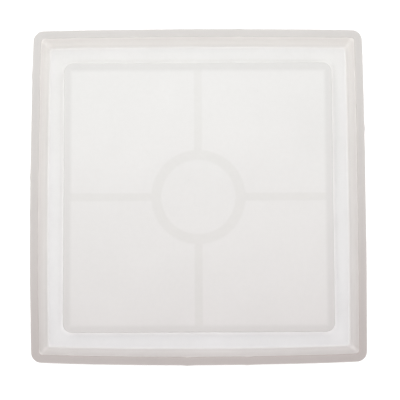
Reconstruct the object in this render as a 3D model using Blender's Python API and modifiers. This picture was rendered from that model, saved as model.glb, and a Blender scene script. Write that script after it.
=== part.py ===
"""Square tray mould for casting resin: one silicone moulding, modelled feature by feature.

The mould lies with its open side up. A perimeter wall with a flat rim stands round a
channel, and inside the channel a hollow plateau rises. The plateau is a skirt that carries
a thin deck, and under the deck four straight ribs run from the skirt to a round one.
The origin is on the table under the middle of the mould, with +Z up and +Y to the back.
"""

import math
from collections import namedtuple

import bmesh
import bpy

# An outline is a square with round corners whose sides bow outward. half is taken at the
# ends of a side, so the middle of a side lies at half + bow.
Outline = namedtuple("Outline", "half corner bow")

# Heights above the table
RIM_HEIGHT = 0.0250
DECK_HEIGHT = 0.0180
FLOOR_HEIGHT = 0.0030
DECK_THICKNESS = 0.0040

# Outlines, each at its own height
RIM_OUTER = Outline(0.1580, 0.0098, 0.0020)
BASE_OUTER = Outline(0.1574, 0.0092, 0.0016)
MOUTH = Outline(0.1506, 0.0030, 0.0018)
WALL_FOOT = Outline(0.1463, 0.0048, 0.0015)
DECK_EDGE = Outline(0.1300, 0.0087, 0.0)
SKIRT_FOOT = Outline(0.1322, 0.0105, 0.0)
HOLLOW = Outline(0.1247, 0.0025, 0.0)

# Rounded edges
RIM_ROUND = 0.0008
FOOT_FILLET = 0.0030

# Ribs under the deck
RIB_WIDTH = 0.0073
RING_OUTER_RADIUS = 0.0450
RING_INNER_RADIUS = 0.0362

GAP = 0.0003  # clearance between neighbouring solids
SIDE_STEPS = 8
CORNER_STEPS = 6
ROUND_STEPS = 3
FILLET_STEPS = 4
RING_STEPS = 72
SMOOTH_ANGLE = math.radians(35)

SILICONE_ROUGHNESS = 0.48
SILICONE_IOR = 1.41
WALL_COLOUR = (0.62, 0.59, 0.58, 1.0)
FLOOR_COLOUR = (0.84, 0.84, 0.84, 1.0)
DECK_COLOUR = (0.80, 0.79, 0.77, 1.0)
RIB_COLOUR = (0.74, 0.73, 0.71, 1.0)


def clear_scene():
    """Remove every object, so that the script can be run again."""
    for old in list(bpy.data.objects):
        bpy.data.objects.remove(old)


def new_collection(name):
    """Make a collection in the scene."""
    collection = bpy.data.collections.new(name)
    bpy.context.scene.collection.children.link(collection)
    return collection


def silicone(name, colour):
    """Make a satin silicone material of one tone."""
    material = bpy.data.materials.new(name)
    material.use_nodes = True
    shader = material.node_tree.nodes["Principled BSDF"]
    shader.inputs["Base Color"].default_value = colour
    shader.inputs["Roughness"].default_value = SILICONE_ROUGHNESS
    shader.inputs["Metallic"].default_value = 0.0
    shader.inputs["IOR"].default_value = SILICONE_IOR
    material.diffuse_color = colour
    return material


def blend(first, second, share):
    """Return the outline that lies a share of the way from the first to the second."""
    return Outline(*(a + (b - a) * share for a, b in zip(first, second)))


def offset(outline, distance):
    """Return the outline moved outward all round, or inward by a negative distance."""
    return Outline(outline.half + distance, outline.corner + distance, outline.bow)


def outline_points(outline):
    """Return the points of an outline, anticlockwise from the right side's lower end."""
    straight = outline.half - outline.corner
    quarter = []
    for step in range(SIDE_STEPS):
        along = 2.0 * step / SIDE_STEPS - 1.0
        bulge = outline.bow * (1.0 - along * along)
        quarter.append((outline.half + bulge, straight * along))
    for step in range(CORNER_STEPS):
        angle = 0.5 * math.pi * step / CORNER_STEPS
        x = straight + outline.corner * math.cos(angle)
        y = straight + outline.corner * math.sin(angle)
        quarter.append((x, y))
    points = []
    for turn in range(4):
        c, s = ((1, 0), (0, 1), (-1, 0), (0, -1))[turn]
        points += [(c * x - s * y, s * x + c * y) for x, y in quarter]
    return points


def finish_object(name, mesh, material, collection):
    """Give a mesh its material and smooth shading, and place it as an object."""
    mesh.materials.append(material)
    mesh.shade_smooth()
    mesh.set_sharp_from_angle(angle=SMOOTH_ANGLE)
    piece = bpy.data.objects.new(name, mesh)
    collection.objects.link(piece)
    return piece


def loft_frame(name, sections, material, collection):
    """Loft a closed frame through (outline, height) sections, the last joined to the first."""
    bm = bmesh.new()
    rings = []
    for outline, height in sections:
        points = outline_points(outline)
        rings.append([bm.verts.new((x, y, height)) for x, y in points])
    for ring, following in zip(rings, rings[1:] + rings[:1]):
        count = len(ring)
        for i in range(count):
            j = (i + 1) % count
            bm.faces.new((ring[i], ring[j], following[j], following[i]))
    bmesh.ops.recalc_face_normals(bm, faces=bm.faces)
    mesh = bpy.data.meshes.new(name)
    bm.to_mesh(mesh)
    bm.free()
    return finish_object(name, mesh, material, collection)


def wall_face(height):
    """Return the outline of the cavity's sloping wall at a height above the floor."""
    share = (height - FLOOR_HEIGHT) / (RIM_HEIGHT - FLOOR_HEIGHT)
    return blend(WALL_FOOT, MOUTH, share)


def foot_fillet():
    """Return the sections of the round foot of the cavity's wall, from the wall down."""
    run = (MOUTH.half + MOUTH.bow) - (WALL_FOOT.half + WALL_FOOT.bow)
    slope = math.atan2(run, RIM_HEIGHT - FLOOR_HEIGHT)
    centre = FOOT_FILLET * (math.tan(slope) - 1.0 / math.cos(slope))
    sections = []
    for step in range(FILLET_STEPS + 1):
        share = step / FILLET_STEPS
        angle = -slope - (0.5 * math.pi - slope) * share
        height = FLOOR_HEIGHT + FOOT_FILLET * (1.0 + math.sin(angle))
        inset = centre + FOOT_FILLET * math.cos(angle)
        drift = (height - FLOOR_HEIGHT) * math.tan(slope)
        sections.append((offset(wall_face(height), inset - drift), height))
    return sections


def make_outer_wall(collection):
    """Perimeter wall: flat rim on top, sloping face to the cavity, round foot."""
    sections = [(BASE_OUTER, 0.0)]
    for step in range(ROUND_STEPS + 1):
        angle = 0.5 * math.pi * step / ROUND_STEPS
        inset = RIM_ROUND * (math.cos(angle) - 1.0)
        height = RIM_HEIGHT - RIM_ROUND * (1.0 - math.sin(angle))
        sections.append((offset(RIM_OUTER, inset), height))
    sections.append((MOUTH, RIM_HEIGHT))
    fillet = foot_fillet()
    sections += fillet
    sections.append((fillet[-1][0], 0.0))
    material = silicone("silicone_outer_wall", WALL_COLOUR)
    return loft_frame("outer_wall", sections, material, collection)


def make_channel_floor(collection):
    """Thin floor of the channel, which lies on the table between wall and plateau."""
    outer_edge = offset(foot_fillet()[-1][0], -GAP)
    inner_edge = offset(SKIRT_FOOT, GAP)
    sections = [
        (outer_edge, 0.0),
        (outer_edge, FLOOR_HEIGHT),
        (inner_edge, FLOOR_HEIGHT),
        (inner_edge, 0.0),
    ]
    material = silicone("silicone_channel_floor", FLOOR_COLOUR)
    return loft_frame("channel_floor", sections, material, collection)


def make_plateau_skirt(collection):
    """Sloping side wall of the plateau, which stands on the table and carries the deck."""
    top = DECK_HEIGHT - DECK_THICKNESS - GAP
    rise = (top - FLOOR_HEIGHT) / (DECK_HEIGHT - FLOOR_HEIGHT)
    sections = [
        (SKIRT_FOOT, 0.0),
        (SKIRT_FOOT, FLOOR_HEIGHT),
        (blend(SKIRT_FOOT, DECK_EDGE, rise), top),
        (HOLLOW, top),
        (HOLLOW, 0.0),
    ]
    material = silicone("silicone_plateau_skirt", RIB_COLOUR)
    return loft_frame("plateau_skirt", sections, material, collection)


def make_deck(collection):
    """Thin flat top of the plateau, a square with round corners."""
    curve = bpy.data.curves.new("deck_outline", "CURVE")
    curve.dimensions = "2D"
    curve.fill_mode = "BOTH"
    curve.extrude = 0.5 * DECK_THICKNESS
    points = outline_points(DECK_EDGE)
    spline = curve.splines.new("POLY")
    spline.points.add(len(points) - 1)
    for point, (x, y) in zip(spline.points, points):
        point.co = (x, y, 0.0, 1.0)
    spline.use_cyclic_u = True
    curve.materials.append(silicone("silicone_deck", DECK_COLOUR))
    deck = bpy.data.objects.new("deck", curve)
    deck.location.z = DECK_HEIGHT - 0.5 * DECK_THICKNESS
    collection.objects.link(deck)
    return deck


def make_rib_mesh():
    """Straight rib along +X, from the round rib to the skirt, standing on the table."""
    start = RING_OUTER_RADIUS + GAP
    length = HOLLOW.half - GAP - start
    height = DECK_HEIGHT - DECK_THICKNESS - GAP
    bm = bmesh.new()
    bmesh.ops.create_cube(bm, size=1.0)
    bmesh.ops.scale(bm, vec=(length, RIB_WIDTH, height), verts=bm.verts)
    bmesh.ops.translate(bm, vec=(start + 0.5 * length, 0.0, 0.5 * height), verts=bm.verts)
    mesh = bpy.data.meshes.new("rib")
    bm.to_mesh(mesh)
    bm.free()
    mesh.materials.append(silicone("silicone_rib", RIB_COLOUR))
    return mesh


def make_ribs(collection):
    """The four straight ribs of the cross, one towards each side."""
    mesh = make_rib_mesh()
    for turn, side in enumerate(("right", "back", "left", "front")):
        rib = bpy.data.objects.new("rib_" + side, mesh)
        rib.rotation_euler.z = 0.5 * math.pi * turn
        collection.objects.link(rib)


def make_centre_ring(collection):
    """Round rib in the middle of the cross, turned from its rectangular section."""
    top = DECK_HEIGHT - DECK_THICKNESS - GAP
    profile = [
        (RING_OUTER_RADIUS, 0.0, top),
        (RING_OUTER_RADIUS, 0.0, 0.0),
        (RING_INNER_RADIUS, 0.0, 0.0),
        (RING_INNER_RADIUS, 0.0, top),
    ]
    mesh = bpy.data.meshes.new("centre_ring")
    mesh.from_pydata(profile, [(0, 1), (1, 2), (2, 3), (3, 0)], [])
    material = silicone("silicone_centre_ring", RIB_COLOUR)
    ring = finish_object("centre_ring", mesh, material, collection)
    screw = ring.modifiers.new("turn", "SCREW")
    screw.angle = 2.0 * math.pi
    screw.steps = RING_STEPS
    screw.render_steps = RING_STEPS
    screw.use_merge_vertices = True
    screw.merge_threshold = 0.00001
    screw.use_smooth_shade = True
    return ring


def main():
    clear_scene()
    parts = new_collection("resin_tray_mould")
    make_outer_wall(parts)
    make_channel_floor(parts)
    make_plateau_skirt(parts)
    make_deck(parts)
    make_ribs(parts)
    make_centre_ring(parts)


main()
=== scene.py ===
"""Looks of the square silicone tray mould: milky skin, ribs and ring around the CAD frame."""

import math
from collections import namedtuple

import bmesh
import bpy
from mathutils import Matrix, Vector, noise


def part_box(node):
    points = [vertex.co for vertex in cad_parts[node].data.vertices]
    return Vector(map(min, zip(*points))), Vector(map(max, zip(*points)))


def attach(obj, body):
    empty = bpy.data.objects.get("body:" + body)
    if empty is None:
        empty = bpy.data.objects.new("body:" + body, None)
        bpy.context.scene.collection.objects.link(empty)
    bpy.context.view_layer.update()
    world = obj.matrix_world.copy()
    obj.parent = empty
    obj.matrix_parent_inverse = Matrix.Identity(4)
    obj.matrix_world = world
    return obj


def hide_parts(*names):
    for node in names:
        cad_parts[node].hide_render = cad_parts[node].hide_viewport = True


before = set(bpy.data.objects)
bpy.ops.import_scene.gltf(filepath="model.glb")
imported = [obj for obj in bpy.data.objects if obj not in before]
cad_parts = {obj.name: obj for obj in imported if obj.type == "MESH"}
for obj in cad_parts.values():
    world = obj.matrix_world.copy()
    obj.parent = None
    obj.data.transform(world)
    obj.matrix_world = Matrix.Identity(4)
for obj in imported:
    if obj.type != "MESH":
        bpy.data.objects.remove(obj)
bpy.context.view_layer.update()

# A square with round corners whose sides bow outward: a side's ends lie at half, and its
# middle at half + bow. The whole outline is moved back, along +Y, by back.
Outline = namedtuple("Outline", "half corner bow back")

# One ring of the skin: its outline, its height, how far its wall may wander (0 to 1), and
# its zone, which sets its tone and painted light (see TONES_AND_PAINTED_LIGHT).
Section = namedtuple("Section", "outline height loose zone")

# ---------------------------------------------------------------- sizes, from the frame
WALL_HIGH = Vector(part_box("outer_wall")[1])
DECK_LOW, DECK_HIGH = (Vector(c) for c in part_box("deck"))
SKIRT_HIGH = Vector(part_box("plateau_skirt")[1])
RIB_LOW, RIB_HIGH = (Vector(c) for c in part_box("rib_right"))
RING_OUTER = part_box("centre_ring")[1][0]
RIM_HEIGHT = WALL_HIGH.z
DECK_HEIGHT = DECK_HIGH.z
DECK_UNDERSIDE = DECK_LOW.z
FLOOR_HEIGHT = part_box("channel_floor")[1][2]
RIB_WIDTH = RIB_HIGH.y - RIB_LOW.y

# Sizes that the boxes don't hold
CAD_GAP = 0.0003
RING_WIDTH = 0.0088
RIM_INSET = 0.0016
RIM_BOW = 0.0018
RIM_WIDTH = 0.0074
RIM_TO_WALL_FOOT = 0.0116
OUTSIDE_DRAFT = 0.0008
SKIRT_INSET = 0.0005
WALL_BACK = 0.0014
RING_INNER = RING_OUTER - RING_WIDTH
HOLLOW_HALF = RIB_HIGH.x + CAD_GAP

RIM_OUTER = Outline(WALL_HIGH.x - RIM_INSET, 0.0098, RIM_BOW, WALL_BACK)
BASE_OUTER = Outline(RIM_OUTER.half - OUTSIDE_DRAFT, 0.0092, 0.0014, WALL_BACK)
MOUTH = Outline(RIM_OUTER.half - RIM_WIDTH, 0.0030, 0.0016, WALL_BACK)
WALL_FOOT = Outline(RIM_OUTER.half - RIM_TO_WALL_FOOT, 0.0032, 0.0014, WALL_BACK)
DECK_EDGE = Outline(DECK_HIGH.x, 0.0087, 0.0, 0.0)
SKIRT_FOOT = Outline(SKIRT_HIGH.x - SKIRT_INSET, 0.0105, 0.0, 0.0)
HOLLOW = Outline(HOLLOW_HALF, 0.0025, 0.0, 0.0)

# Radii of rounded edges and fillets
OUTER_ROUND = 0.0008
MOUTH_ROUND = 0.0005
FOOT_FILLET = 0.0022
SKIRT_FILLET = 0.0010
DECK_ROUND = 0.0006
INNER_FILLET = 0.0012

# Steps of the meshes
SIDE_STEPS = 52
CORNER_STEPS = 10
FOOT_STEPS = 8
DECK_RINGS = 62
UNDER_RINGS = 10
RIB_STEPS = 24
RING_STEPS = 128
SHARP_ANGLE = math.radians(50)

# The soft sides don't bow alike: right, back, left and front, as multiples of the bow
SIDE_EASE = (0.6, 0.8, 1.1, 1.6)

# Small faults of a hand-demoulded silicone piece: how far the wall wanders, the waves of
# the rim and the deck, the sink marks and the flash line round the rim
WANDER = 0.00025
WANDER_SCALE = 14.0
WANDER_SLICE = 3.7
RIM_WAVE = 0.00012
RIM_WAVE_SCALE = 30.0
DECK_WAVE = 0.00012
DECK_WAVE_SCALE = 25.0
DECK_WAVE_SLICE = 9.1
SINK_DEPTH = 0.00016
SINK_SOFTNESS = 0.004
FLASH = 0.00025
FLASH_LINE = ((0.0, 0.0006), (FLASH, 0.0004), (FLASH, 0.0001), (0.0, -0.0001))

# Nibs left where the flash was trimmed: side, place along it, size
NIB_LENGTH = 0.0035
NIB_HEIGHT = 0.0012
TRIM_NIBS = (
    ("back", 0.038, 0.0007),
    ("right", 0.064, 0.0005),
    ("left", 0.116, 0.0006),
    ("left", 0.020, 0.0004),
    ("left", -0.018, 0.0005),
    ("front", -0.010, 0.0007),
    ("front", 0.047, 0.0005),
)

# Zones of the skin, from the plateau's side out to the outside of the wall
SKIRT_ZONE = 0.00
SKIRT_FOOT_ZONE = 0.03
FLOOR_INNER_ZONE = 0.05
FLOOR_ZONE = 0.06
FLOOR_OUTER_ZONE = 0.10
WALL_FOOT_ZONE = 0.25
WALL_LOW_ZONE = 0.40
WALL_TOP_ZONE = 0.75
MOUTH_ZONE = 0.82
RIM_ZONE = 0.90
RIM_EDGE_ZONE = 0.96
FLASH_ZONE = 0.97
OUTSIDE_ZONE = 1.00

# Zones of the deck, whose tone and painted falloff come from DECK_TONES_AND_FALLOFF, and of the
# underside
DECK_ZONE = 0.30
UNDER_DECK_ZONE = 0.30
HOLLOW_ZONE = 0.40
BASE_ZONE = 0.50


# ---------------------------------------------------------------- outlines and sections
def between(first, second, share):
    """Return the number that lies a share of the way from the first to the second."""
    return first + (second - first) * share


def blend(first, second, share):
    """Return the outline that lies a share of the way from the first to the second."""
    return Outline(*(between(a, b, share) for a, b in zip(first, second)))


def offset(outline, distance):
    """Return the outline moved outward all round, or inward by a negative distance."""
    return outline._replace(half=outline.half + distance, corner=outline.corner + distance)


def scaled(outline, factor):
    """Return a smaller outline of the same shape."""
    return Outline(*(value * factor for value in outline))


def outline_points(outline):
    """Return (point, outward normal) pairs round an outline, anticlockwise."""
    straight = outline.half - outline.corner
    points = []
    for (c, s), ease in zip(((1, 0), (0, 1), (-1, 0), (0, -1)), SIDE_EASE):
        quarter = []
        for step in range(SIDE_STEPS):
            along = 2.0 * step / SIDE_STEPS - 1.0
            bulge = outline.bow * ease * (1.0 - along * along)
            quarter.append((outline.half + bulge, straight * along, 1.0, 0.0))
        for step in range(CORNER_STEPS):
            angle = 0.5 * math.pi * step / CORNER_STEPS
            nx, ny = math.cos(angle), math.sin(angle)
            corner = outline.corner
            quarter.append((straight + corner * nx, straight + corner * ny, nx, ny))
        for x, y, nx, ny in quarter:
            point = Vector((c * x - s * y, s * x + c * y + outline.back, 0.0))
            normal = Vector((c * nx - s * ny, s * nx + c * ny, 0.0))
            points.append((point, normal))
    return points


def wall_face(height):
    """Return the outline of the cavity's sloping wall at a height."""
    share = (height - FLOOR_HEIGHT) / (RIM_HEIGHT - FLOOR_HEIGHT)
    return blend(WALL_FOOT, MOUTH, share)


def arc(outline, height, radius, start, end, steps):
    """Yield (outline, height) round an edge; angles are in degrees, 0 outward, 90 up."""
    for step in range(steps + 1):
        angle = math.radians(between(start, end, step / steps))
        yield offset(outline, radius * math.cos(angle)), height + radius * math.sin(angle)


def outer_sections():
    """The outside, from the table up to the rim, and across the rim to the mouth."""
    side_top = RIM_HEIGHT - OUTER_ROUND
    for share in (0.0, 0.12, 0.3, 0.5, 0.7, 0.85):
        outline = blend(BASE_OUTER, RIM_OUTER, share)
        yield Section(outline, share * side_top, share, OUTSIDE_ZONE)
    for reach, drop in FLASH_LINE:
        yield Section(offset(RIM_OUTER, reach), side_top - drop, 1.0, FLASH_ZONE)
    outer_edge = offset(RIM_OUTER, -OUTER_ROUND)
    for outline, height in arc(outer_edge, side_top, OUTER_ROUND, 12, 90, 5):
        share = (height - side_top) / OUTER_ROUND
        yield Section(outline, height, 1.0, between(RIM_EDGE_ZONE, RIM_ZONE, share))
    inner_edge = offset(MOUTH, MOUTH_ROUND)
    for share in (0.3, 0.6, 0.85):
        yield Section(blend(outer_edge, inner_edge, share), RIM_HEIGHT, 1.0, RIM_ZONE)
    for outline, height in arc(inner_edge, RIM_HEIGHT - MOUTH_ROUND, MOUTH_ROUND, 90, 180, 4):
        yield Section(outline, height, 1.0, MOUTH_ZONE)


def foot_sections(slope):
    """The round foot of the cavity's wall, from the wall down to the channel floor."""
    centre = FOOT_FILLET * (math.tan(slope) - 1.0 / math.cos(slope))
    for step in range(FOOT_STEPS + 1):
        share = step / FOOT_STEPS
        angle = between(-slope, -0.5 * math.pi, share)
        height = FLOOR_HEIGHT + FOOT_FILLET * (1.0 + math.sin(angle))
        inset = centre + FOOT_FILLET * math.cos(angle)
        drift = (height - FLOOR_HEIGHT) * math.tan(slope)
        outline = offset(wall_face(height), inset - drift)
        yield Section(outline, height, 0.0, between(WALL_FOOT_ZONE, FLOOR_OUTER_ZONE, share))


def channel_sections():
    """The cavity's wall, its round foot, the channel floor and the plateau's side."""
    lean = MOUTH.half + MOUTH.bow - WALL_FOOT.half - WALL_FOOT.bow
    slope = math.atan2(lean, RIM_HEIGHT - FLOOR_HEIGHT)
    fillet_top = FLOOR_HEIGHT + FOOT_FILLET * (1.0 - math.sin(slope))
    for share in (0.06, 0.2, 0.4, 0.6, 0.8):
        height = between(RIM_HEIGHT, fillet_top, share)
        zone = between(WALL_TOP_ZONE, WALL_FOOT_ZONE, share)
        yield Section(wall_face(height), height, 1.0 - share, zone)
    foot = list(foot_sections(slope))
    yield from foot
    floor_start = foot[-1].outline
    floor_end = offset(SKIRT_FOOT, SKIRT_FILLET)
    for share in (0.25, 0.5, 0.75):
        zone = between(FLOOR_OUTER_ZONE, FLOOR_INNER_ZONE, share)
        yield Section(blend(floor_start, floor_end, share), FLOOR_HEIGHT, 0.0, zone)
    for outline, height in arc(floor_end, FLOOR_HEIGHT + SKIRT_FILLET, SKIRT_FILLET, 270, 190, 4):
        yield Section(outline, height, 0.0, SKIRT_FOOT_ZONE)
    for share in (0.25, 0.5, 0.75):
        height = between(FLOOR_HEIGHT, DECK_HEIGHT, share)
        yield Section(blend(SKIRT_FOOT, DECK_EDGE, share), height, 0.0, SKIRT_ZONE)


def deck_sections():
    """The deck's rounded edge and its top, ring by ring towards the middle."""
    edge = offset(DECK_EDGE, -DECK_ROUND)
    for outline, height in arc(edge, DECK_HEIGHT - DECK_ROUND, DECK_ROUND, 8, 90, 4):
        yield Section(outline, height, 0.0, DECK_ZONE)
    for step in range(1, DECK_RINGS):
        yield Section(scaled(edge, 1.0 - step / DECK_RINGS), DECK_HEIGHT, 0.0, DECK_ZONE)


def under_sections():
    """The underside, from the middle of the hollow out to the wall's lower edge."""
    top = offset(HOLLOW, -INNER_FILLET)
    for step in range(1, UNDER_RINGS):
        yield Section(scaled(top, step / UNDER_RINGS), DECK_UNDERSIDE, 0.0, UNDER_DECK_ZONE)
    for outline, height in arc(top, DECK_UNDERSIDE - INNER_FILLET, INNER_FILLET, 90, 0, 4):
        yield Section(outline, height, 0.0, HOLLOW_ZONE)
    for height in (0.008, 0.004, 0.0):
        yield Section(HOLLOW, height, 0.0, HOLLOW_ZONE)
    for share in (0.2, 0.4, 0.6, 0.8):
        yield Section(blend(HOLLOW, BASE_OUTER, share), 0.0, 0.0, BASE_ZONE)


# ---------------------------------------------------------------- small faults
def side_of(point):
    """Return the side a point lies on, and its place along that side."""
    if abs(point.x) > abs(point.y):
        return ("right" if point.x > 0 else "left"), point.y
    return ("back" if point.y > 0 else "front"), point.x


def nib(point, height):
    """Outward size of a trimmed flash nib at a point of the rim's outer edge."""
    side, along = side_of(point)
    rise = max(0.0, 1.0 - abs(height - RIM_HEIGHT + OUTER_ROUND) / NIB_HEIGHT)
    size = 0.0
    for name, place, reach in TRIM_NIBS:
        if name == side:
            size = max(size, reach * math.exp(-(((along - place) / NIB_LENGTH) ** 2)))
    return size * rise


def soft_step(value, edge):
    """Return 1 well below the edge and 0 well above it, with a smooth change between."""
    t = min(1.0, max(0.0, 0.5 - (value - edge) / SINK_SOFTNESS))
    return t * t * (3.0 - 2.0 * t)


def sink(x, y):
    """Depth of the sink marks over the ribs, the ring and the skirt, 0 to 1."""
    radius = math.hypot(x, y)
    cross = soft_step(min(abs(x), abs(y)), 0.5 * RIB_WIDTH)
    cross *= soft_step(-radius, -RING_INNER)
    middle = 0.5 * (RING_OUTER + RING_INNER)
    ring = soft_step(abs(radius - middle), 0.5 * RING_WIDTH)
    border = soft_step(-max(abs(x), abs(y)), -HOLLOW_HALF)
    return max(cross, ring, border)


# ---------------------------------------------------------------- the skin
def skin_vertex(section, point, normal, on_deck):
    """Return a vertex of the skin, moved by the wall's wander, a nib or a sink mark."""
    spot = Vector((point.x, point.y, section.height))
    if section.loose > 0.0:
        place = Vector((point.x * WANDER_SCALE, point.y * WANDER_SCALE, WANDER_SLICE))
        spot += normal * (WANDER * section.loose * noise.noise(place))
        spot += normal * nib(point, section.height)
        spot.z += RIM_WAVE * section.loose * noise.noise(spot * RIM_WAVE_SCALE)
    if on_deck:
        spot.z -= SINK_DEPTH * sink(point.x, point.y)
        place = Vector((point.x * DECK_WAVE_SCALE, point.y * DECK_WAVE_SCALE, DECK_WAVE_SLICE))
        spot.z += DECK_WAVE * noise.noise(place)
    return spot


def bridge(bm, first, second):
    """Join two rings of vertices with a band of faces."""
    for i in range(len(first)):
        j = (i + 1) % len(first)
        bm.faces.new((first[i], first[j], second[j], second[i]))


def make_skin():
    """Wall, channel, plateau and deck as one closed silicone skin."""
    rows = [(s, False) for s in under_sections()]
    rows += [(s, False) for s in outer_sections()]
    rows += [(s, False) for s in channel_sections()]
    rows += [(s, True) for s in deck_sections()]
    bm = bmesh.new()
    zone = bm.verts.layers.float.new("zone")
    deck = bm.verts.layers.float.new("deck")
    rings = []
    for section, on_deck in rows:
        ring = []
        for point, normal in outline_points(section.outline):
            vert = bm.verts.new(skin_vertex(section, point, normal, on_deck))
            vert[zone] = section.zone
            vert[deck] = float(on_deck)
            ring.append(vert)
        rings.append(ring)
    for ring, following in zip(rings, rings[1:]):
        bridge(bm, ring, following)
    for ring, height, value in ((rings[0], DECK_UNDERSIDE, 0.0), (rings[-1], DECK_HEIGHT, 1.0)):
        centre = bm.verts.new((0.0, 0.0, height))
        centre[zone] = DECK_ZONE
        centre[deck] = value
        for i in range(len(ring)):
            bm.faces.new((ring[i], ring[(i + 1) % len(ring)], centre))
    bmesh.ops.recalc_face_normals(bm, faces=bm.faces)
    return add_piece("mould_skin", bm, ("outer_wall", "channel_floor", "plateau_skirt", "deck"))


def add_piece(name, bm, nodes):
    """Make an object from a bmesh that rides on the mould and stands for CAD nodes."""
    mesh = bpy.data.meshes.new(name)
    bm.to_mesh(mesh)
    bm.free()
    mesh.shade_smooth()
    mesh.set_sharp_from_angle(angle=SHARP_ANGLE)
    piece = bpy.data.objects.new(name, mesh)
    bpy.context.scene.collection.objects.link(piece)
    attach(piece, "root")
    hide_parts(*nodes)
    return piece


# ---------------------------------------------------------------- ribs and ring
# The face of a rib, from its root in the deck down to the table: how far it stands out
# past the rib's side, and its height
RIB_ROOT = DECK_UNDERSIDE + 0.0004
RIB_FACE = (
    (0.0012, RIB_ROOT),
    (0.0004, RIB_ROOT - 0.0008),
    (0.0, RIB_ROOT - 0.0020),
    (0.0, 0.0010),
    (-0.0003, 0.0003),
    (-0.0010, 0.0),
)

# The straight ribs run into the ring and into the skirt
RIB_START = RING_INNER + 0.003
RIB_END = HOLLOW_HALF + 0.001


def make_rib(side, turn):
    """One rib of the cross, with rounded lower edges and a foot that widens at the deck."""
    half = 0.5 * RIB_WIDTH
    profile = [(-half - reach, z) for reach, z in RIB_FACE]
    profile += [(half + reach, z) for reach, z in reversed(RIB_FACE)]
    turned = 0.5 * math.pi * turn
    c, s = round(math.cos(turned)), round(math.sin(turned))
    bm = bmesh.new()
    rings = []
    for step in range(RIB_STEPS + 1):
        x = between(RIB_START, RIB_END, step / RIB_STEPS)
        rings.append([bm.verts.new((c * x - s * y, s * x + c * y, z)) for y, z in profile])
    for ring, following in zip(rings, rings[1:]):
        bridge(bm, ring, following)
    bm.faces.new(rings[0])
    bm.faces.new(rings[-1])
    bmesh.ops.recalc_face_normals(bm, faces=bm.faces)
    return add_piece(side + "_rib", bm, ("rib_" + side,))


def make_ring():
    """The round rib in the middle, turned from the same section as the straight ribs."""
    profile = [(RING_OUTER + reach, z) for reach, z in RIB_FACE]
    profile += [(RING_INNER - reach, z) for reach, z in reversed(RIB_FACE)]
    bm = bmesh.new()
    rings = []
    for step in range(RING_STEPS):
        angle = 2.0 * math.pi * step / RING_STEPS
        c, s = math.cos(angle), math.sin(angle)
        rings.append([bm.verts.new((c * r, s * r, z)) for r, z in profile])
    for ring, following in zip(rings, rings[1:] + rings[:1]):
        bridge(bm, ring, following)
    bmesh.ops.recalc_face_normals(bm, faces=bm.faces)
    return add_piece("ring_rib", bm, ("centre_ring",))


# ---------------------------------------------------------------- materials
class Nodes:
    """Short calls for building one material's node tree."""

    def __init__(self, name):
        self.material = bpy.data.materials.new(name)
        self.material.use_nodes = True
        self.tree = self.material.node_tree
        self.shader = self.tree.nodes["Principled BSDF"]

    def add(self, kind, **values):
        """Add a node and set its properties."""
        node = self.tree.nodes.new(kind)
        for key, value in values.items():
            setattr(node, key, value)
        return node

    def link(self, source, target):
        """Link an output to an input."""
        self.tree.links.new(source, target)

    def feed(self, socket, value):
        """Link a socket to an input, or set the input to a value."""
        if isinstance(value, bpy.types.NodeSocket):
            self.link(value, socket)
        else:
            socket.default_value = value

    def math(self, operation, first, second=0.0, third=0.0, clamp=False):
        """Return the result of one math operation."""
        node = self.add("ShaderNodeMath", operation=operation, use_clamp=clamp)
        for socket, value in zip(node.inputs, (first, second, third)):
            self.feed(socket, value)
        return node.outputs[0]

    def remap(self, value, low, high, to_low=0.0, to_high=1.0):
        """Return a value carried smoothly from one range to another."""
        node = self.add("ShaderNodeMapRange", interpolation_type="SMOOTHSTEP")
        for socket, number in zip(node.inputs, (value, low, high, to_low, to_high)):
            self.feed(socket, number)
        return node.outputs[0]

    def noise(self, place, scale, detail=2.0, roughness=0.5):
        """Return a noise value."""
        node = self.add("ShaderNodeTexNoise")
        self.link(place, node.inputs["Vector"])
        node.inputs["Scale"].default_value = scale
        node.inputs["Detail"].default_value = detail
        node.inputs["Roughness"].default_value = roughness
        return node.outputs["Fac"]

    def spread_noise(self, place, scale, detail, roughness, low, high):
        """Return noise whose usual range is spread from low to high."""
        return self.remap(self.noise(place, scale, detail, roughness), 0.3, 0.7, low, high)

    def mix(self, share, first, second, blend_type="MIX"):
        """Return a mix of two colours."""
        node = self.add("ShaderNodeMix", data_type="RGBA", blend_type=blend_type)
        self.feed(node.inputs["Factor"], share)
        self.feed(node.inputs[6], first)
        self.feed(node.inputs[7], second)
        return node.outputs[2]

    def shaded(self, share, colour, shade):
        """Return a colour multiplied, for a share, by a fixed shade."""
        return self.mix(share, colour, self.mix(1.0, colour, (*shade, 1.0), "MULTIPLY"))

    def ramp(self, place, stops):
        """Return a colour read from stops of (place, colour)."""
        node = self.add("ShaderNodeValToRGB")
        elements = node.color_ramp.elements
        elements[0].position = stops[0][0]
        elements[1].position = stops[-1][0]
        for position, _ in stops[1:-1]:
            elements.new(position)
        for element, (_, colour) in zip(elements, stops):
            element.color = (*colour, 1.0)
        self.link(place, node.inputs[0])
        return node.outputs[0]
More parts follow.
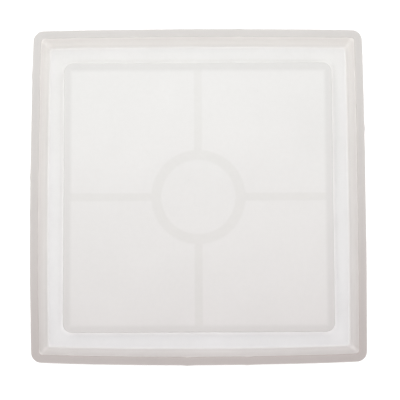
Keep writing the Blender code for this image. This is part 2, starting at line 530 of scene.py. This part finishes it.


# Tones of the skin by zone, at the back and at the front. Besides the silicone's own colour
# they hold painted light and shade: the front is darker as a painted falloff of the light;
# the thin wall, the channel floor and the plateau's side and foot are painted lighter, for
# light through thin silicone and against the shade of the channel; the thick rim is painted
# darker; and the wall's foot is a little darker, painted shade in the crease.
TONES_AND_PAINTED_LIGHT = (
    (SKIRT_ZONE, (0.775, 0.765, 0.755), (0.765, 0.755, 0.755)),
    (SKIRT_FOOT_ZONE, (0.693, 0.688, 0.678), (0.705, 0.695, 0.70)),
    (FLOOR_ZONE, (0.592, 0.592, 0.582), (0.60, 0.592, 0.60)),
    (FLOOR_OUTER_ZONE, (0.578, 0.576, 0.573), (0.54, 0.535, 0.541)),
    (WALL_FOOT_ZONE, (0.728, 0.711, 0.693), (0.637, 0.613, 0.604)),
    (WALL_LOW_ZONE, (0.778, 0.757, 0.735), (0.665, 0.637, 0.626)),
    (WALL_TOP_ZONE, (0.69, 0.662, 0.64), (0.525, 0.491, 0.48)),
    (MOUTH_ZONE, (0.435, 0.418, 0.405), (0.321, 0.285, 0.275)),
    (RIM_ZONE, (0.434, 0.42, 0.408), (0.321, 0.288, 0.28)),
    (OUTSIDE_ZONE, (0.56, 0.545, 0.53), (0.52, 0.505, 0.49)),
)
# The deck's tones at the back and at the front; the darker front is a painted falloff of the light
DECK_TONES_AND_FALLOFF = ((0.541, 0.538, 0.528), (0.456, 0.435, 0.431))

# The tones change from back to front, mostly darker towards the front, faster near the front,
# and a little towards the right too: a painted falloff of the light
RIGHT_SHARE = 0.10
FRONT_POWER = 1.4

# Painted shade on the deck where thicker silicone lies under it: over the ribs and the ring,
# more of it at the front than at the back, and over the skirt round the edge
RIB_SHADE = (0.945, 0.943, 0.935)
EDGE_SHADE = (0.911, 0.908, 0.907)
RIB_SHARE_BACK = 0.62
RIB_SHARE_FRONT = 1.10

# The painted shade's outlines blur inward and outward, as under the surface, and sit a little
# further forward
RIB_FORWARD = 0.0006
BLUR_INWARD = 0.0008
RIB_BLUR = 0.0012
RIB_END_BLUR = 0.0020
RING_BLUR = 0.0018
SKIRT_BLUR = 0.0008
SKIRT_BLUR_INWARD = 0.0040

# Milky clouding, deeper on the wall than on the deck, and the finer mottling in it
CLOUD_SCALE = 14.0
DECK_CLOUDS = 0.011
WALL_CLOUDS = 0.014
MOTTLE_SCALE = 220.0
MOTTLE = (0.992, 1.006)

# Specks of dust and tiny bubbles, in about half of the cells
SPECK_SCALE = 150.0
SPECK_CHOICE = 0.45
SPECK_EDGE = (0.02, 0.08)
SPECK_DEPTH = 0.08

# Satin surface
ROUGHNESS = (0.38, 0.58)
ROUGHNESS_SCALE = 35.0
GRAIN_SCALE = 900.0
GRAIN_SHARE = 0.25
WAVE_SCALE = 55.0
BUMP_STRENGTH = 0.5
BUMP_DISTANCE = 0.0004
SILICONE_IOR = 1.41
SILICONE_GLOSS = 0.12
SCATTER_REACH = 0.0045


def painted_see_through_shade(n, place):
    """Return masks of painted shade on the deck: over the ribs and ring, and over the skirt,
    standing in for them showing through the silicone.
    """
    split = n.add("ShaderNodeSeparateXYZ")
    n.link(place, split.inputs[0])
    x = n.math("ABSOLUTE", split.outputs[0])
    y = n.math("ABSOLUTE", n.math("ADD", split.outputs[1], RIB_FORWARD))
    flat = n.add("ShaderNodeCombineXYZ")
    n.link(x, flat.inputs[0])
    n.link(y, flat.inputs[1])
    length = n.add("ShaderNodeVectorMath", operation="LENGTH")
    n.link(flat.outputs[0], length.inputs[0])
    radius = length.outputs["Value"]
    half = 0.5 * RIB_WIDTH
    cross = n.remap(n.math("MINIMUM", x, y), half - BLUR_INWARD, half + RIB_BLUR, 1.0, 0.0)
    outside_ring = n.remap(radius, RING_INNER, RING_INNER + RIB_END_BLUR)
    cross = n.math("MULTIPLY", cross, outside_ring)
    middle = 0.5 * (RING_OUTER + RING_INNER)
    off_ring = n.math("ABSOLUTE", n.math("SUBTRACT", radius, middle))
    half = 0.5 * RING_WIDTH
    ring = n.remap(off_ring, half - BLUR_INWARD, half + RING_BLUR, 1.0, 0.0)
    reach = n.math("MAXIMUM", x, y)
    skirt = n.remap(reach, HOLLOW_HALF - SKIRT_BLUR_INWARD, HOLLOW_HALF + SKIRT_BLUR)
    inside = n.math("SUBTRACT", 1.0, skirt)
    return n.math("MULTIPLY", n.math("MAXIMUM", cross, ring), inside), skirt


def specks(n, place):
    """Return 1 on sparse specks, up to about 1 mm wide, and 0 elsewhere."""
    cells = n.add("ShaderNodeTexVoronoi")
    cells.inputs["Scale"].default_value = SPECK_SCALE
    n.link(place, cells.inputs["Vector"])
    split = n.add("ShaderNodeSeparateColor")
    n.link(cells.outputs["Color"], split.inputs[0])
    chosen = n.math("GREATER_THAN", split.outputs[0], SPECK_CHOICE)
    return n.math("MULTIPLY", chosen, n.remap(cells.outputs["Distance"], *SPECK_EDGE, 1.0, 0.0))


def painted_falloff(n, place):
    """Return 0 at the back and 1 at the front of the mould: the share of the painted falloff of the
    light.
    """
    split = n.add("ShaderNodeSeparateXYZ")
    n.link(place, split.inputs[0])
    to_right = n.math("MULTIPLY", split.outputs[0], RIGHT_SHARE)
    forward = n.math("SUBTRACT", to_right, split.outputs[1])
    reach = 2.0 * WALL_HIGH.y * (1.0 + RIGHT_SHARE)
    forward = n.math("MULTIPLY_ADD", forward, 1.0 / reach, 0.5, clamp=True)
    return n.math("POWER", forward, FRONT_POWER)


def tone_with_painted_light(n, place, deck):
    """Return the tone with painted light and shade: by zone on the skin, darker towards the front,
    and with painted shade over the outlines under the deck.
    """
    # Painted falloff of the light: the tones darken towards the front
    falloff_share = painted_falloff(n, place)
    zone = n.add("ShaderNodeAttribute", attribute_name="zone").outputs["Fac"]
    # Tones by zone, with their painted light and shade
    back = n.ramp(zone, [(position, tone) for position, tone, _ in TONES_AND_PAINTED_LIGHT])
    front = n.ramp(zone, [(position, tone) for position, _, tone in TONES_AND_PAINTED_LIGHT])
    skin_tone = n.mix(falloff_share, back, front)
    deck_tone = n.mix(falloff_share, (*DECK_TONES_AND_FALLOFF[0], 1.0), (*DECK_TONES_AND_FALLOFF[1], 1.0))
    # Painted shade where the ribs, the ring and the skirt lie under the deck
    ribs, skirt = painted_see_through_shade(n, place)
    grow = n.math("MULTIPLY_ADD", falloff_share, RIB_SHARE_FRONT - RIB_SHARE_BACK, RIB_SHARE_BACK)
    ribs = n.math("MULTIPLY", ribs, grow, clamp=True)
    deck_tone = n.shaded(ribs, deck_tone, RIB_SHADE)
    deck_tone = n.shaded(skirt, deck_tone, EDGE_SHADE)
    return n.mix(deck, skin_tone, deck_tone)


def clouding(n, place, deck):
    """Return a grey that carries the clouding, the mottling and the specks."""
    depth = n.math("MULTIPLY_ADD", deck, DECK_CLOUDS - WALL_CLOUDS, WALL_CLOUDS)
    drift = n.spread_noise(place, CLOUD_SCALE, 3.0, 0.5, -1.0, 1.0)
    cloud = n.math("MULTIPLY_ADD", drift, depth, 1.0)
    mottle = n.spread_noise(place, MOTTLE_SCALE, 3.0, 0.6, *MOTTLE)
    shade = n.math("MULTIPLY", cloud, mottle)
    dust = n.math("MULTIPLY_ADD", specks(n, place), -SPECK_DEPTH, 1.0)
    shade = n.math("MULTIPLY", shade, dust)
    grey = n.add("ShaderNodeCombineColor")
    for socket in grey.inputs:
        n.link(shade, socket)
    return grey.outputs[0]


def silicone():
    """Milky satin silicone whose tones carry painted light and shade, with clouding and dust; its
    thickness isn't simulated.
    """
    n = Nodes("milky_silicone")
    place = n.add("ShaderNodeTexCoord").outputs["Object"]
    deck = n.add("ShaderNodeAttribute", attribute_name="deck").outputs["Fac"]
    tone = tone_with_painted_light(n, place, deck)
    tone = n.mix(1.0, tone, clouding(n, place, deck), "MULTIPLY")
    n.link(tone, n.shader.inputs["Base Color"])
    satin = n.spread_noise(place, ROUGHNESS_SCALE, 5.0, 0.65, *ROUGHNESS)
    n.link(satin, n.shader.inputs["Roughness"])
    grain = n.math("MULTIPLY", n.noise(place, GRAIN_SCALE, 4.0, 0.6), GRAIN_SHARE)
    height = n.math("ADD", grain, n.noise(place, WAVE_SCALE))
    bump = n.add("ShaderNodeBump")
    bump.inputs["Strength"].default_value = BUMP_STRENGTH
    bump.inputs["Distance"].default_value = BUMP_DISTANCE
    n.link(height, bump.inputs["Height"])
    n.link(bump.outputs[0], n.shader.inputs["Normal"])
    n.shader.subsurface_method = "BURLEY"
    n.shader.inputs["IOR"].default_value = SILICONE_IOR
    n.shader.inputs["Specular IOR Level"].default_value = SILICONE_GLOSS
    n.shader.inputs["Subsurface Weight"].default_value = 1.0
    n.shader.inputs["Subsurface Radius"].default_value = (1.0, 1.0, 1.0)
    n.shader.inputs["Subsurface Scale"].default_value = SCATTER_REACH
    return n.material


# ---------------------------------------------------------------- stage, lights and camera
TABLE_HALF = 40.0
TABLE_DROP = 0.0001
TABLE_WHITES = ((0.965, 0.965, 0.965, 1.0), (0.975, 0.975, 0.975, 1.0))
TABLE_ROUGHNESS = 0.9
TABLE_GLOSS = 0.1

CAMERA_DISTANCE = 0.70
CAMERA_TILT = math.radians(3.05)
CAMERA_ROLL = math.radians(0.236)
CAMERA_LENS = 63.75
CAMERA_SENSOR = 36.0
AIM = Vector((0.0014, -0.0027, 0.0))

WORLD_LIGHT = 1.0
LAMP_PLACE = (-0.03, 0.08, 0.85)
LAMP_SIZE = 0.9
LAMP_POWER = 5.9


def table_top():
    """Plain white table with the faintest unevenness."""
    n = Nodes("white_table")
    place = n.add("ShaderNodeTexCoord").outputs["Object"]
    white = n.mix(n.noise(place, 6.0, 3.0), *TABLE_WHITES)
    n.link(white, n.shader.inputs["Base Color"])
    n.shader.inputs["Roughness"].default_value = TABLE_ROUGHNESS
    n.shader.inputs["Specular IOR Level"].default_value = TABLE_GLOSS
    return n.material


def make_stage():
    """Wide white table that the mould lies on."""
    bm = bmesh.new()
    bmesh.ops.create_grid(bm, x_segments=2, y_segments=2, size=TABLE_HALF)
    mesh = bpy.data.meshes.new("table")
    bm.to_mesh(mesh)
    bm.free()
    mesh.materials.append(table_top())
    table = bpy.data.objects.new("table", mesh)
    table.location.z = -TABLE_DROP
    bpy.context.scene.collection.objects.link(table)


def make_lights():
    """White surroundings, and a square softbox over the mould, a little to the back."""
    world = bpy.data.worlds.new("studio")
    bpy.context.scene.world = world
    world.use_nodes = True
    background = world.node_tree.nodes["Background"]
    background.inputs["Color"].default_value = (1.0, 1.0, 1.0, 1.0)
    background.inputs["Strength"].default_value = WORLD_LIGHT
    lamp = bpy.data.lights.new("softbox", "AREA")
    lamp.shape = "SQUARE"
    lamp.size = LAMP_SIZE
    lamp.energy = LAMP_POWER
    light = bpy.data.objects.new("softbox", lamp)
    light.location = LAMP_PLACE
    light.visible_camera = False
    bpy.context.scene.collection.objects.link(light)


def make_camera():
    """Camera almost straight above, leaning a little to the front."""
    data = bpy.data.cameras.new("camera")
    data.lens = CAMERA_LENS
    data.sensor_width = CAMERA_SENSOR
    camera = bpy.data.objects.new("camera", data)
    look = Vector((0.0, math.sin(CAMERA_TILT), -math.cos(CAMERA_TILT)))
    camera.location = AIM - look * CAMERA_DISTANCE
    camera.rotation_euler = (CAMERA_TILT, 0.0, -CAMERA_ROLL)
    bpy.context.scene.collection.objects.link(camera)
    bpy.context.scene.camera = camera
    bpy.context.scene.view_settings.view_transform = "Standard"


def main():
    pieces = [make_skin(), make_ring()]
    for turn, side in enumerate(("right", "back", "left", "front")):
        pieces.append(make_rib(side, turn))
    skin_material = silicone()
    for piece in pieces:
        piece.data.materials.append(skin_material)
    make_stage()
    make_lights()
    make_camera()


main()
